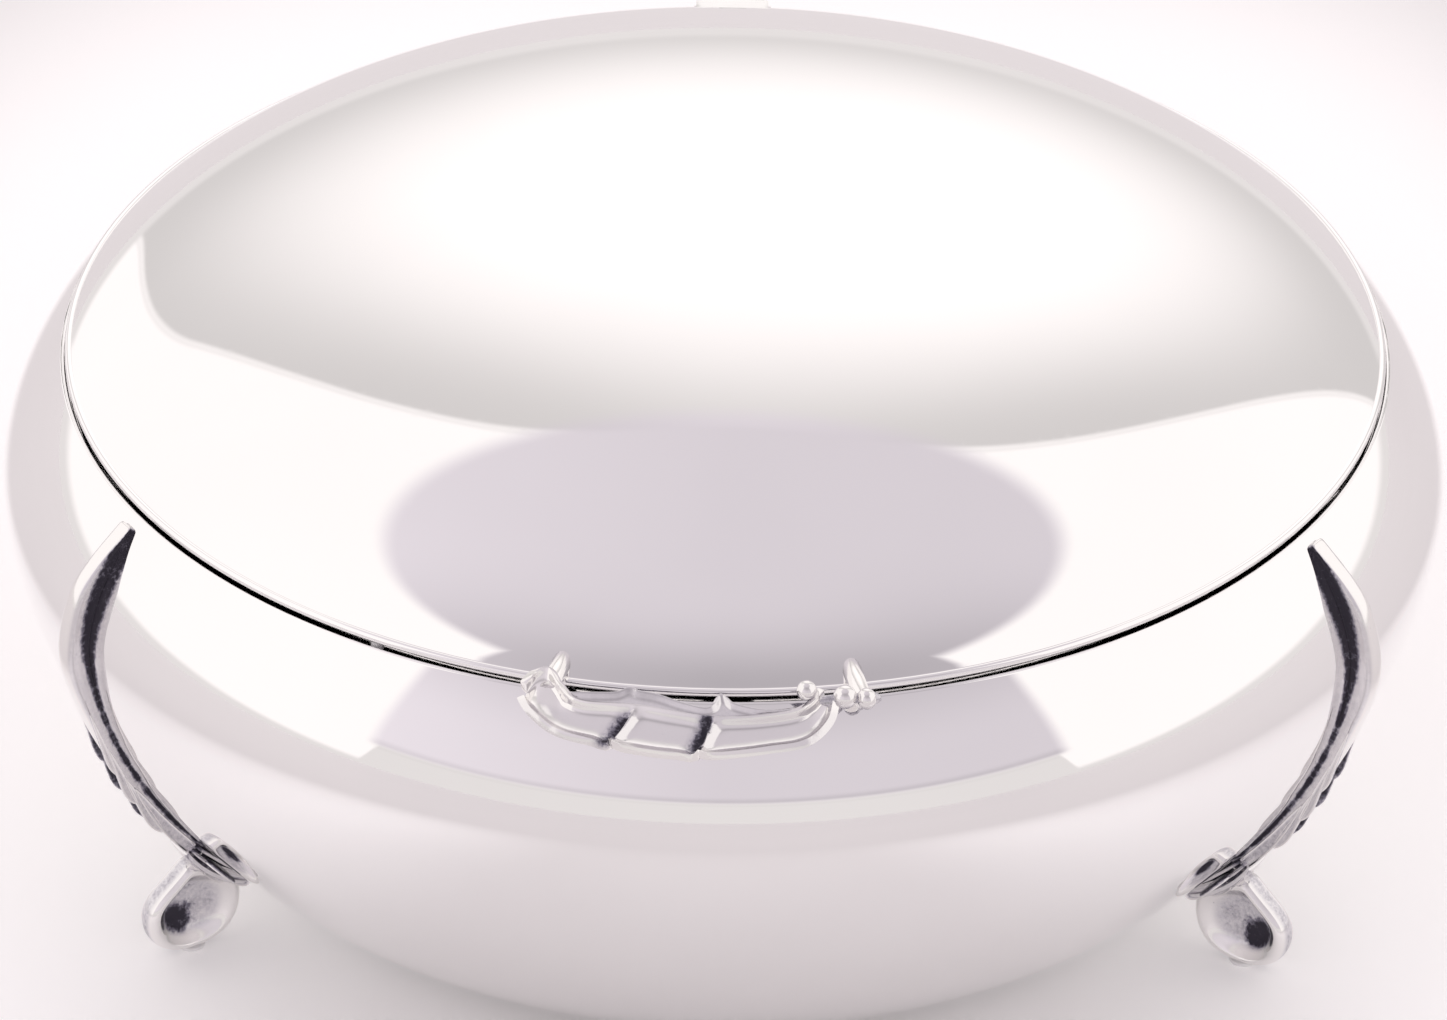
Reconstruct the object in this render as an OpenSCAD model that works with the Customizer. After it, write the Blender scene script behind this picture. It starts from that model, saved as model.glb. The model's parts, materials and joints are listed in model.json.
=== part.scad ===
// Round chafing dish: a deep polished bowl on three cast legs, with a shallow
// domed lid hinged at the rear, a water pan, a food pan and one gel-fuel burner.
// Millimetres. The origin is on the table, under the centre of the bowl.
// +Z is up and the front, with the lid's handle, faces -Y.

/* [Bowl] */
// Radius of the bowl at its widest line
bowl_r = 250; // [210:1:300]
// Height of the widest line above the table
belly_z = 134.5; // [125:0.5:145]
// Height of the bowl's rim above the table
rim_z = 179.6; // [170:0.2:196]
// How far the shoulder draws in from the widest line to the rim
shoulder_in = 21; // [15:1:26]
// Depth below the widest line at which the bowl's curve would close
belly_drop = 166.5; // [155:0.5:200]
// Gap between the bowl's flat underside and the table
floor_z = 8; // [7:0.5:14]
// Thickness of the bowl's and the lid's sheet
sheet_t = 1.2; // [0.8:0.1:2]
// Radius of the hole in the bowl's floor
floor_hole_r = 110; // [80:1:125]

/* [Lid] */
// Height of the lid's crown above the rim
lid_rise = 64; // [52:1:80]
// How far round its ellipse the lid's edge lies, in degrees from the crown
lid_edge = 69.7; // [60:0.1:76]
// Gap between the bowl's rim and the lid's bead
lid_gap = 0.8; // [0.5:0.1:1.5]
// Radius of the bead rolled round the lid's edge
bead_r = 1.5; // [1.2:0.1:2]

/* [Hinge] */
// How far the hinge pin stands outside the rim
pin_out = 10; // [9:0.5:14]
// How far the hinge pin lies below the rim
pin_drop = 2.6; // [2:0.1:4]
// Radius of the hinge pin
pin_r = 2; // [1.5:0.1:2.5]
// Radius of the hinge knuckles
knuckle_r = 4.5; // [3.8:0.1:5]
// Width of the lid's knuckle
knuckle_w = 10; // [8:0.5:16]
// Width of the whole hinge
hinge_w = 26; // [22:1:40]

/* [Handle] */
// Width of the handle, measured round the rim
handle_w = 128; // [90:1:150]
// How far the handle reaches outside the rim
handle_out = 33.5; // [26:0.5:40]
// How far the handle's lip hangs below the rim
handle_drop = 3; // [1:0.5:6]
// Thickness of the handle's lip
handle_t = 5; // [4:0.5:7]
// Radius of the two handle posts
post_r = 3.2; // [3:0.1:4]
// Distance between the two handle posts
post_gap = 98; // [50:1:100]
// Angle by which the handle's middle lies to the left of the front
handle_aside = 1; // [0:0.5:2]

/* [Legs] */
// Thickness of a leg, measured round the bowl
leg_w = 10; // [8:0.5:14]
// How far a leg stands out from the bowl at its widest
leg_out = 8.8; // [7:0.1:12]
// Angle between the front of the bowl and each front leg
leg_deg = 59; // [50:0.5:60]
// Radius from the centre to the middle of a foot pad
foot_r = 212; // [190:1:230]
// Radius of a foot pad
pad_r = 5; // [4:0.5:9]
// Thickness of a foot pad
pad_t = 1.5; // [1:0.1:3]

/* [Pans] */
// Inner radius of the ledge ring that holds the pans
ledge_r = 206; // [170:1:210]
// Depth of the water pan
water_depth = 84; // [75:1:95]
// Depth of the food pan
food_depth = 60; // [40:1:65]
// Thickness of the pans' sheet
pan_t = 1; // [0.8:0.1:1.5]
// Draft of a pan's wall, from top to bottom
pan_draft = 8; // [4:0.5:10]

/* [Burner] */
// Outer radius of the fuel cup
cup_r = 45; // [35:0.5:50]
// Height of the fuel cup
cup_h = 50; // [40:1:55]
// Thickness of the fuel cup's wall
cup_t = 1; // [0.8:0.1:2]
// Radius of the damper's pivot pin
damper_pin_r = 2; // [1.5:0.1:3]

/* [Fits] */
// Radial clearance of a turning joint
run_fit = 0.05; // [0.02:0.01:0.1]
// Radial clearance round a screw
screw_fit = 0.1; // [0.05:0.05:0.3]
// Gap between pieces that move past each other
move_gap = 0.3; // [0.3:0.1:1]
// Gap all round between a pan and what it hangs in
pan_gap = 1.5; // [1:0.1:4]

/* [Screws] */
// Radius of the screws' shanks
screw_r = 2; // [1.5:0.1:2.5]
// Radius of the screws' heads
head_r = 3.6; // [3:0.1:4.5]
// Thickness of the screws' heads
head_t = 1.6; // [1.2:0.1:2.5]

/* [Hidden] */
$fn = 96;

rim_r = bowl_r - shoulder_in;
shoulder_power = 1.7;
belly_power = 1.7;
belly_round = 2.47;
corner = 3;                                  // height of the break at the bowl's foot

lid_a = rim_r / sin(lid_edge);               // the lid's ellipse: half width
lid_c = lid_rise / (1 - cos(lid_edge));      // and half height
lid_z0 = rim_z - lid_c * cos(lid_edge);      // height of its centre
bead_z = rim_z + lid_gap + bead_r;
bead_gap = 1.2;                              // from the rim's edge to what stands beside the bead

ledge_t = 1.4;
ledge_top = rim_z - ledge_t;
ledge_lip = 5;
bumper_r = 2.2;
bumper_inset = 4.6;

water_r = ledge_r - pan_gap;
water_flange_r = rim_r - 8;
food_r = water_r - pan_t - pan_gap - 1.5;
food_flange_r = rim_r - 17;
food_flange_z = ledge_top + pan_t + move_gap;
pan_corner = 12;

plate_t = 2;
plate_z = floor_z + sheet_t;
plate_r = floor_hole_r + 14;
plate_screw_r = floor_hole_r + 8;
vent_r = 7;
vent_circle = 80;
holder_h = 22;
holder_t = 1.5;
cup_z = plate_z + plate_t + holder_t;
cup_top = cup_z + cup_h;
damper_x = cup_r + 12;
damper_t = 1.5;
damper_hub_r = 5;
post_foot_r = 6;

pin_y = rim_r + pin_out;
pin_z = rim_z - pin_drop;
hinge_t = 3;
bracket_h = 22;
bracket_top = pin_z - knuckle_r - 2.5;
leaf_screw_z = rim_z + 14.5;
leaf_screw_x = 8;
leaf_top = rim_z + 20;

post_z = rim_z + 6;
handle_in = 8.5;                             // from the rim to the handle's inner edge
handle_deg = handle_w / (rim_r + handle_out) * 180 / PI;
post_deg = asin(post_gap / 2 / rim_r);

leg_angles = [-leg_deg, leg_deg, 180];       // measured from the front
leg_tip_z = rim_z - 1;
rear_tip_z = bracket_top - bracket_h - 2;
leg_screw_zs = [belly_z - 35, belly_z - 76];
nut_r = 4.4;
nut_t = 2.6;
nut_seat = 0.15;                             // the hollow under a flat nut on the curved wall
screw_bite = 4.2;                             // how far a leg screw enters the leg

// A smooth curve through the points p, with n steps for each stretch.
function catmull(a, b, c, d, t) =
    0.5 * (2 * b + (c - a) * t + (2 * a - 5 * b + 4 * c - d) * t * t
           + (3 * b - 3 * c + d - a) * t * t * t);
function smooth(p, n) =
    [for (i = [0 : len(p) - 2]) for (k = [0 : n - 1])
        catmull(p[max(i - 1, 0)], p[i], p[i + 1], p[min(i + 2, len(p) - 1)], k / n),
     p[len(p) - 1]];

// The path p moved sideways by d, to the right of its direction.
function side(a, b) = [b.y - a.y, a.x - b.x] / norm(b - a);
function shifted(p, d) =
    [for (i = [0 : len(p) - 1]) p[i] + d * side(p[max(i - 1, 0)], p[min(i + 1, len(p) - 1)])];
function reversed(p) = [for (i = [len(p) - 1 : -1 : 0]) p[i]];

// Radius of the bowl's outside at the height z.
function bowl_at(z) = z > belly_z
    ? bowl_r - shoulder_in * pow((z - belly_z) / (rim_z - belly_z), shoulder_power)
    : bowl_r * pow(1 - pow((belly_z - z) / belly_drop, belly_power), 1 / belly_round);

// The bowl's outline from the edge of its flat floor up to its rim.
bowl_steps = 26;
foot_of_bowl = floor_z + corner;
bowl_line = concat(
    [[bowl_at(foot_of_bowl) - 1.6 * corner, floor_z]],
    [for (i = [0 : bowl_steps])
        let (z = foot_of_bowl + (rim_z - foot_of_bowl) * (1 - cos(180 * i / bowl_steps)) / 2)
        [bowl_at(z), z]]);

// The lid's outline from its edge up to its crown.
lid_steps = 22;
lid_foot = acos((bead_z - lid_z0) / lid_c);
lid_line = [for (i = [0 : lid_steps])
    let (a = lid_foot * (1 - i / lid_steps)) [lid_a * sin(a), lid_z0 + lid_c * cos(a)]];
function lid_at(z) = lid_a * sqrt(1 - pow((z - lid_z0) / lid_c, 2));

// A solid bowl, grown outwards by g.
module bowl_solid(g = 0) {
    p = shifted(bowl_line, g);
    rotate_extrude() polygon(concat([[0, floor_z - g]], p, [[0, rim_z]]));
}

// A solid dome, grown outwards by g.
module dome_solid(g = 0) {
    p = [for (q = shifted(lid_line, g)) [max(q.x, 0), q.y]];
    rotate_extrude() polygon(concat([[0, p[0].y]], p));
}

// Turns its children, made on the +Y side, to the angle a from the front.
module at_angle(a) rotate([0, 0, 180 + a]) children();

module screw(length) {
    cylinder(r = screw_r, h = length);
    translate([0, 0, -head_t]) cylinder(r = head_r, h = head_t);
}

module outer_shell() {
    color("silver") difference() {
        rotate_extrude() polygon(concat(
            [[floor_hole_r, floor_z]], bowl_line,
            reversed(shifted(bowl_line, -sheet_t)), [[floor_hole_r, floor_z + sheet_t]]));
        leg_screw_places() cylinder(r = screw_r + screw_fit, h = 4 * screw_bite, center = true);
        base_screw_places() cylinder(r = screw_r + screw_fit, h = 8, center = true);
        bracket_screw_places() cylinder(r = screw_r + screw_fit, h = 12, center = true);
    }
}

module ledge_ring() {
    inner = shifted(bowl_line, -sheet_t);
    color("gainsboro") intersection() {
        union() {
            translate([0, 0, ledge_top - ledge_t]) ring(rim_r + 6, ledge_r, ledge_t);
            translate([0, 0, ledge_top - ledge_lip])
                ring(ledge_r + ledge_t, ledge_r, ledge_lip);
        }
        rotate_extrude() polygon(concat([[0, floor_z]], inner, [[0, rim_z]]));
    }
}

module ring(outer, inner, h) difference() {
    cylinder(r = outer, h = h);
    translate([0, 0, -1]) cylinder(r = inner, h = h + 2);
}

module rim_bumpers() {
    color("dimgray") for (a = [90, 210, 330]) at_angle(a)
        translate([0, rim_r - bumper_inset, ledge_top])
            cylinder(r = bumper_r, h = rim_z + lid_gap - move_gap - ledge_top);
}

module base_plate() {
    color("silver") difference() {
        translate([0, 0, plate_z]) cylinder(r = plate_r, h = plate_t);
        for (a = [0 : 45 : 315]) rotate([0, 0, a]) translate([vent_circle, 0, 0])
            cylinder(r = vent_r, h = plate_z + plate_t + 1);
        base_screw_places() cylinder(r = screw_r + screw_fit, h = 20, center = true);
    }
}

module base_screw_places() for (a = [0, 120, 240]) at_angle(a)
    translate([0, plate_screw_r, floor_z]) children();

module base_screws() color("gray") base_screw_places() screw(sheet_t + plate_t + 3);

// The side of a leg, drawn in radius and height. It lies on the bowl from the
// rim down, where the bowl is cut out of it, and ends in a foot scrolled outwards.
function leg_outline() = let (r_tip = rim_r + 4, tip_z = leg_tip_z)
    concat(
        smooth([[r_tip - 3, tip_z], [r_tip, tip_z - 1],
                [bowl_at(belly_z + 22) + 1.1 * leg_out, belly_z + 22],
                [bowl_r + leg_out - 1.8, belly_z + 7], [bowl_r + leg_out, belly_z - 5],
                [bowl_r + leg_out - 1.4, belly_z - 13],
                [bowl_at(belly_z - 43) + 0.65 * leg_out, belly_z - 43],
                [bowl_at(belly_z - 78) + 0.72 * leg_out, belly_z - 78],
                [foot_r + 2, 41], [foot_r, 32], [foot_r + 4, 26],
                [foot_r + 12, 23.5], [foot_r + 17, 18], [foot_r + 15, 8],
                [foot_r + 7, pad_t]], 4),
        smooth([[foot_r - 9, pad_t], [foot_r - 17, 8], [foot_r - 20, 18],
                [foot_r - 22, 30]], 3),
        [[bowl_at(belly_z - 60) - 20, belly_z - 60], [bowl_r - 20, belly_z],
         [r_tip - 8, tip_z - 6]]);

module leg(top_z) {
    color("lightsteelblue") difference() {
        translate([leg_w / 2, 0, 0]) rotate([90, 0, -90]) mirror([1, 0, 0])
            linear_extrude(leg_w) polygon(leg_outline());
        bowl_solid();
        translate([-leg_w, 0, top_z]) cube([2 * leg_w, 2 * bowl_r, rim_z]);
        translate([0, 0, rim_z - 1]) cylinder(r = rim_r + bead_gap, h = 20);
        for (z = leg_screw_zs) leg_screw_at(z)
            cylinder(r = screw_r + screw_fit, h = 2 * screw_bite + 0.4, center = true);
    }
}

// A leg screw's seat on the bowl's skin at height z, square to the skin.
module leg_screw_at(z) {
    lean = atan2(bowl_at(z + 1) - bowl_at(z - 1), 2);
    translate([0, bowl_at(z), z]) rotate([-90 - lean, 0, 0]) children();
}

module leg_screw_places() for (a = leg_angles) at_angle(a)
    for (z = leg_screw_zs) leg_screw_at(z) children();

module leg_left() at_angle(leg_angles[0]) leg(leg_tip_z + 1);
module leg_right() at_angle(leg_angles[1]) leg(leg_tip_z + 1);
module leg_rear() at_angle(leg_angles[2]) leg(rear_tip_z);

module leg_screws() {
    color("gray") leg_screw_places()
        translate([0, 0, -sheet_t - nut_t - 1]) cylinder(r = screw_r, h = sheet_t + nut_t + 1 + screw_bite);
}

// Nuts on the inside of the bowl's wall.
module leg_nuts() {
    color("darkgray") leg_screw_places() translate([0, 0, -sheet_t - nut_t - nut_seat]) difference() {
        cylinder(r = nut_r, h = nut_t, $fn = 6);
        translate([0, 0, -1]) cylinder(r = screw_r, h = nut_t + 2);
    }
}

module foot_pad() color("dimgray") translate([0, foot_r, 0]) cylinder(r = pad_r, h = pad_t);
module foot_pad_left() at_angle(leg_angles[0]) foot_pad();
module foot_pad_right() at_angle(leg_angles[1]) foot_pad();
module foot_pad_rear() at_angle(leg_angles[2]) foot_pad();

// A round pan that hangs from its flange, with a rounded corner at its floor.
module pan(wall_r, flange_r, flange_z, depth) {
    foot_z = flange_z + pan_t - depth;
    foot_r = wall_r - pan_draft;
    line = concat(
        [[0, foot_z]],
        [for (a = [0 : 15 : 90])
            [foot_r - pan_corner + pan_corner * sin(a), foot_z + pan_corner * (1 - cos(a))]],
        [[wall_r, flange_z]]);
    inner = [for (q = shifted(line, -pan_t)) [max(q.x, 0), q.y]];
    rotate_extrude() polygon(concat(line, [[flange_r, flange_z], [flange_r, flange_z + pan_t],
        [wall_r - pan_t, flange_z + pan_t]], reversed(inner)));
}

module water_pan() color("lightgray") pan(water_r, water_flange_r, ledge_top, water_depth);
module food_pan() color("white") pan(food_r, food_flange_r, food_flange_z, food_depth);

module fuel_holder() {
    holder_r = cup_r + 1 + holder_t;
    color("silver") translate([0, 0, plate_z + plate_t]) difference() {
        cylinder(r = holder_r, h = holder_h);
        translate([0, 0, holder_t]) cylinder(r = holder_r - holder_t, h = holder_h);
    }
}

module fuel_cup() {
    color("goldenrod") translate([0, 0, cup_z]) difference() {
        cylinder(r = cup_r, h = cup_h);
        translate([0, 0, cup_t]) cylinder(r = cup_r - cup_t, h = cup_h);
    }
}

module damper_post() {
    color("silver") translate([damper_x, 0, plate_z + plate_t]) {
        cylinder(r = post_foot_r - 2, h = cup_top + move_gap - plate_z - plate_t);
        cylinder(r = damper_pin_r, h = cup_top + 2 * move_gap + damper_t + 3 - plate_z - plate_t);
    }
}

module damper_disc() {
    color("silver") translate([0, 0, cup_top + 2 * move_gap]) difference() {
        union() {
            cylinder(r = cup_r + 1, h = damper_t);
            translate([damper_x, 0, 0]) cylinder(r = damper_hub_r, h = damper_t);
            translate([cup_r - 4, -damper_hub_r, 0])
                cube([damper_x - cup_r + 4, 2 * damper_hub_r, damper_t]);
            translate([-cup_r - 12, -4, 0]) cube([14, 8, damper_t]);
        }
        translate([damper_x, 0, -1]) cylinder(r = damper_pin_r + run_fit, h = damper_t + 2);
    }
}

module damper_cap() {
    color("gray") translate([damper_x, 0, cup_top + 3 * move_gap + damper_t]) difference() {
        cylinder(r = damper_hub_r - 1, h = 2);
        translate([0, 0, -1]) cylinder(r = damper_pin_r, h = 4);
    }
}

// A cylinder along X, centred on the hinge pin.
module hinge_rod(r, w) translate([-w / 2, pin_y, pin_z]) rotate([0, 90, 0]) cylinder(r = r, h = w);

module hinge_bracket() {
    color("silver") difference() {
        union() {
            intersection() {
                bowl_solid(hinge_t);
                translate([-hinge_w / 2, pin_y - 20, bracket_top - bracket_h])
                    cube([hinge_w, 60, bracket_h]);
            }
            hinge_rod(knuckle_r, hinge_w);
            translate([-hinge_w / 2, pin_y - knuckle_r, bracket_top - 6])
                cube([hinge_w, 2 * knuckle_r - 1.5, pin_z - bracket_top + 6]);
        }
        bowl_solid();
        hinge_rod(pin_r + run_fit, hinge_w + 2);
        translate([-knuckle_w / 2 - move_gap, pin_y - 20, bracket_top])
            cube([knuckle_w + 2 * move_gap, 60, 40]);
        translate([-hinge_w / 2 - 1, pin_y - 20, pin_z + 0.6]) cube([hinge_w + 2, 20 - knuckle_r, 20]);
        bracket_screw_places() cylinder(r = screw_r + screw_fit, h = 20, center = true);
        bracket_screw_places() translate([0, 0, -20]) cylinder(r = head_r + 1, h = 20);
    }
}

// Each screw goes in from outside, square to the bracket's plate.
module bracket_screw_places() {
    z = bracket_top - 0.55 * bracket_h;
    lean = atan2(bowl_at(z - 1) - bowl_at(z + 1), 2);
    for (x = [-leaf_screw_x, leaf_screw_x])
        translate([x, bowl_at(z) * cos(asin(x / bowl_at(z))), z]) rotate([90 + lean, 0, 0])
            translate([0, 0, -hinge_t + 0.6]) children();
}

module bracket_screws() color("gray") bracket_screw_places() screw(8);

module hinge_pin() {
    color("gray") {
        hinge_rod(pin_r, hinge_w + 1);
        for (s = [-1, 1]) translate([s * (hinge_w / 2 + 0.5), 0, 0]) hinge_rod(pin_r + 1, 1);
    }
}

module hinge_leaf() {
    color("silver") difference() {
        union() {
            hinge_rod(knuckle_r, knuckle_w);
            translate([knuckle_w / 2, 0, 0]) rotate([90, 0, -90]) mirror([1, 0, 0])
                linear_extrude(knuckle_w) polygon([
                    [pin_y - knuckle_r + 0.2, pin_z], [pin_y, pin_z + knuckle_r - 0.2],
                    [rim_r + 2, rim_z + 14], [rim_r - 8, rim_z + 16],
                    [rim_r - 8, rim_z + lid_gap + 2], [rim_r + 2, rim_z + lid_gap + 0.7]]);
            intersection() {
                dome_solid(hinge_t);
                translate([-hinge_w / 2, rim_r - 40, bead_z + bead_r + 0.6])
                    cube([hinge_w, 60, leaf_top - bead_z - bead_r]);
            }
        }
        dome_solid();
        bead(bead_r + 0.1);
        hinge_rod(pin_r + run_fit, hinge_w);
        leaf_screw_places() cylinder(r = screw_r + screw_fit, h = 30, center = true);
        leaf_screw_places() translate([0, 0, -20]) cylinder(r = head_r + 1, h = 20);
    }
}

module leaf_screw_places() {
    lean = atan2(lid_at(leaf_screw_z - 1) - lid_at(leaf_screw_z + 1), 2);
    for (x = [-leaf_screw_x, leaf_screw_x])
        translate([x, lid_at(leaf_screw_z), leaf_screw_z]) rotate([90 + lean, 0, 0])
            translate([0, 0, -hinge_t + 0.6]) children();
}

module leaf_screws() color("gray") leaf_screw_places() screw(6);

module lid_shell() {
    inner = [for (q = shifted(lid_line, -sheet_t)) [max(q.x, 0), q.y]];
    color("whitesmoke") difference() {
        rotate_extrude() polygon(concat(lid_line, reversed(inner)));
        leaf_screw_places() cylinder(r = screw_r + screw_fit, h = 12, center = true);
        post_places() cylinder(r = screw_r + screw_fit, h = 60, center = true);
    }
}

module bead(r) rotate_extrude() translate([lid_line[0].x - sheet_t / 2, bead_z]) circle(r = r, $fn = 24);

// The lid's edge is rolled into this bead, so the two share the sheet's end.
module lid_bead() color("silver") bead(bead_r);

// The handle's two posts, each along +Z of its own place.
module post_places() for (s = [-1, 1]) at_angle(s * post_deg - handle_aside)
    translate([0, lid_at(post_z), post_z]) rotate([-90, 0, 0]) children();

// The handle screws' heads lie just inside the lid's wall, which leans in above them.
head_top = post_z + head_r;
lid_lean = lid_at(head_top - 0.5) - lid_at(head_top + 0.5);
seat_depth = lid_at(post_z) - lid_at(head_top) + sheet_t * sqrt(1 + lid_lean * lid_lean) + move_gap;
post_end = rim_r + handle_in + 2 - lid_at(post_z);

module handle_posts() {
    color("silver") difference() {
        post_places() translate([0, 0, -6]) cylinder(r = post_r, h = 6 + post_end);
        dome_solid();
        bead(bead_r + 0.1);
        post_places() cylinder(r = screw_r, h = post_end - 2);
        post_places() translate([0, 0, -8]) cylinder(r = screw_r, h = 9);
    }
}

module handle_screws() color("gray") post_places()
    translate([0, 0, -seat_depth]) screw(seat_depth + post_end - 3);

module lid_handle() {
    r_in = rim_r + handle_in;
    r_out = rim_r + handle_out;
    lip = smooth([[r_in, post_z - 4.2], [r_in + 1, post_z + 4.2], [r_in + 7, post_z + 3],
                  [r_out - 5, rim_z + 3.4], [r_out, rim_z - handle_drop + 2]], 4);
    under = smooth([[r_out - 1.5, rim_z - handle_drop], [r_out - handle_t, rim_z - handle_drop + 1.5],
                    [r_in + 9, post_z - 1 - handle_t], [r_in + 2, post_z - 4.6]], 3);
    color("silver") difference() {
        rotate([0, 0, -90 - handle_aside - handle_deg / 2]) rotate_extrude(angle = handle_deg)
            polygon(concat(lip, under));
        post_places() translate([0, 0, -6]) cylinder(r = post_r, h = 6 + post_end);
    }
}

outer_shell();
ledge_ring();
rim_bumpers();
base_plate();
base_screws();
leg_left();
leg_right();
leg_rear();
leg_screws();
leg_nuts();
foot_pad_left();
foot_pad_right();
foot_pad_rear();
water_pan();
food_pan();
fuel_holder();
fuel_cup();
damper_post();
damper_disc();
damper_cap();
hinge_bracket();
bracket_screws();
hinge_pin();
hinge_leaf();
leaf_screws();
lid_shell();
lid_bead();
lid_handle();
handle_posts();
handle_screws();
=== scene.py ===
import json
import math

import bpy
from mathutils import Matrix, Vector


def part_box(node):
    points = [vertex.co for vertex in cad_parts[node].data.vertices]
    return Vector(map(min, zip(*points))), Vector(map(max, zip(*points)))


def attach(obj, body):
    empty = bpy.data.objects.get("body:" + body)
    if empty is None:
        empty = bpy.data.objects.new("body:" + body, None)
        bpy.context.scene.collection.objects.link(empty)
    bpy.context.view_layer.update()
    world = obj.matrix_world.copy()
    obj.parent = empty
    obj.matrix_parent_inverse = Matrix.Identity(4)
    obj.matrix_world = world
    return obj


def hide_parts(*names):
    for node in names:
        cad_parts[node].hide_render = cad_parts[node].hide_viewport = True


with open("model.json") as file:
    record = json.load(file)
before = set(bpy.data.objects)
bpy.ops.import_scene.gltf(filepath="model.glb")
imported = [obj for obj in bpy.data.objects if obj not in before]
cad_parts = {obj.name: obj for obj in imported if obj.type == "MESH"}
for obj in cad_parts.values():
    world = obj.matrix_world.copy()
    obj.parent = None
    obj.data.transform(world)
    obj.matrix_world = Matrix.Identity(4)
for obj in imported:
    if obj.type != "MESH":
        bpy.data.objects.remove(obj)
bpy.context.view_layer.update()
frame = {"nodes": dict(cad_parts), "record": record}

mm = 0.001


# helpers for working by hand in edit mode

def deselectAll():
    if bpy.context.object and bpy.context.object.mode != "OBJECT":
        bpy.ops.object.mode_set(mode="OBJECT")
    bpy.ops.object.select_all(action="DESELECT")


def pickOnly(piece):
    deselectAll()
    piece.select_set(True)
    bpy.context.view_layer.objects.active = piece


def startPoint(point):
    # a plane pinched into one vertex, ready to be drawn into a line
    deselectAll()
    bpy.ops.mesh.primitive_plane_add(size=mm, location=point)
    bpy.ops.object.mode_set(mode="EDIT")
    bpy.ops.mesh.merge(type="CENTER")
    return bpy.context.object


def lathe(line, steps, closed=True):
    # draws a side line in the XZ plane, point by point, and spins it round Z
    first = Vector((line[0][0], 0, line[0][1]))
    piece = startPoint(first)
    last = first
    for r, z in list(line[1:]) + ([line[0]] if closed else []):
        here = Vector((r, 0, z))
        bpy.ops.mesh.extrude_vertices_move(TRANSFORM_OT_translate={"value": here - last})
        last = here
    bpy.ops.mesh.select_all(action="SELECT")
    bpy.ops.mesh.remove_doubles(threshold=1e-6)
    bpy.ops.mesh.spin(steps=steps, angle=2 * math.pi, center=(0, 0, 0), axis=(0, 0, 1))
    bpy.ops.mesh.select_all(action="SELECT")
    bpy.ops.mesh.remove_doubles(threshold=2e-6)
    finishMesh()
    return piece


def drawFace(points):
    # draws a closed outline point by point and fills it
    piece = startPoint(points[0])
    last = Vector(points[0])
    for point in points[1:]:
        here = Vector(point)
        bpy.ops.mesh.extrude_vertices_move(TRANSFORM_OT_translate={"value": here - last})
        last = here
    bpy.ops.mesh.select_all(action="SELECT")
    bpy.ops.mesh.edge_face_add()
    return piece


def turn(angle, axis, centre):
    # with no window the operator turns the other way round
    bpy.ops.transform.rotate(value=-angle, orient_axis=axis, center_override=centre)


def sweep(section, path):
    # a flat section is extruded along a path of (x, z, depth, width), from its first point up;
    # the section's first number runs outwards and its second across, both from -1 to 1
    leans = []
    for i in range(len(path)):
        a = path[max(i - 1, 0)]
        b = path[min(i + 1, len(path) - 1)]
        leans.append(math.atan2(b[0] - a[0], b[1] - a[1]))
    x, z, depth, width = path[0]
    piece = drawFace([(x + n * depth / 2, t * width / 2, z) for n, t in section])
    turn(leans[0], "Y", (x, 0, z))
    for i in range(1, len(path)):
        nextX, nextZ, nextDepth, nextWidth = path[i]
        bpy.ops.mesh.extrude_region_move(TRANSFORM_OT_translate={"value": (nextX - x, 0, nextZ - z)})
        x, z = nextX, nextZ
        turn(-leans[i - 1], "Y", (x, 0, z))
        bpy.ops.transform.resize(value=(nextDepth / depth, nextWidth / width, 1), center_override=(x, 0, z))
        turn(leans[i], "Y", (x, 0, z))
        depth, width = nextDepth, nextWidth
    finishMesh()
    return piece


def finishMesh():
    bpy.ops.mesh.select_all(action="SELECT")
    bpy.ops.mesh.normals_make_consistent(inside=False)
    bpy.ops.object.mode_set(mode="OBJECT")
    bpy.ops.object.transform_apply(location=True, rotation=True, scale=True)


def smoothLine(points, steps):
    # a smooth curve through points of any length
    line = []
    for i in range(len(points) - 1):
        four = [points[max(i - 1, 0)], points[i], points[i + 1], points[min(i + 2, len(points) - 1)]]
        for k in range(steps):
            t = k / steps
            line.append(tuple(0.5 * (2 * b + (c - a) * t + (2 * a - 5 * b + 4 * c - d) * t * t
                                     + (3 * b - 3 * c + d - a) * t * t * t) for a, b, c, d in zip(*four)))
    line.append(tuple(points[-1]))
    return line


def ease(value, low, high):
    t = min(max((value - low) / (high - low), 0), 1)
    return t * t * (3 - 2 * t)


def paint(piece, rule):
    # this attribute says how dark the casting is painted, from 0 to 1: painted shade in hollows, on
    # undersides and along the bowl, which the material mixes with tarnish
    aged = piece.data.attributes.new("aged", "FLOAT", "POINT")
    for vertex in piece.data.vertices:
        aged.data[vertex.index].value = min(max(rule(vertex.co, vertex.normal), 0), 1)


def reshape(piece, rule):
    for vertex in piece.data.vertices:
        vertex.co = rule(vertex.co)


def addModifier(piece, kind, **settings):
    pickOnly(piece)
    made = piece.modifiers.new(kind.lower(), kind)
    for key, value in settings.items():
        setattr(made, key, value)
    bpy.ops.object.modifier_apply(modifier=made.name)


def soften(piece, degrees=40):
    pickOnly(piece)
    bpy.ops.object.shade_smooth_by_angle(angle=math.radians(degrees))


def joinUp(pieces):
    deselectAll()
    for piece in pieces:
        piece.select_set(True)
    bpy.context.view_layer.objects.active = pieces[0]
    bpy.ops.object.join()
    return pieces[0]


def copyPiece(piece):
    twin = piece.copy()
    twin.data = piece.data.copy()
    bpy.context.scene.collection.objects.link(twin)
    return twin


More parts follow.
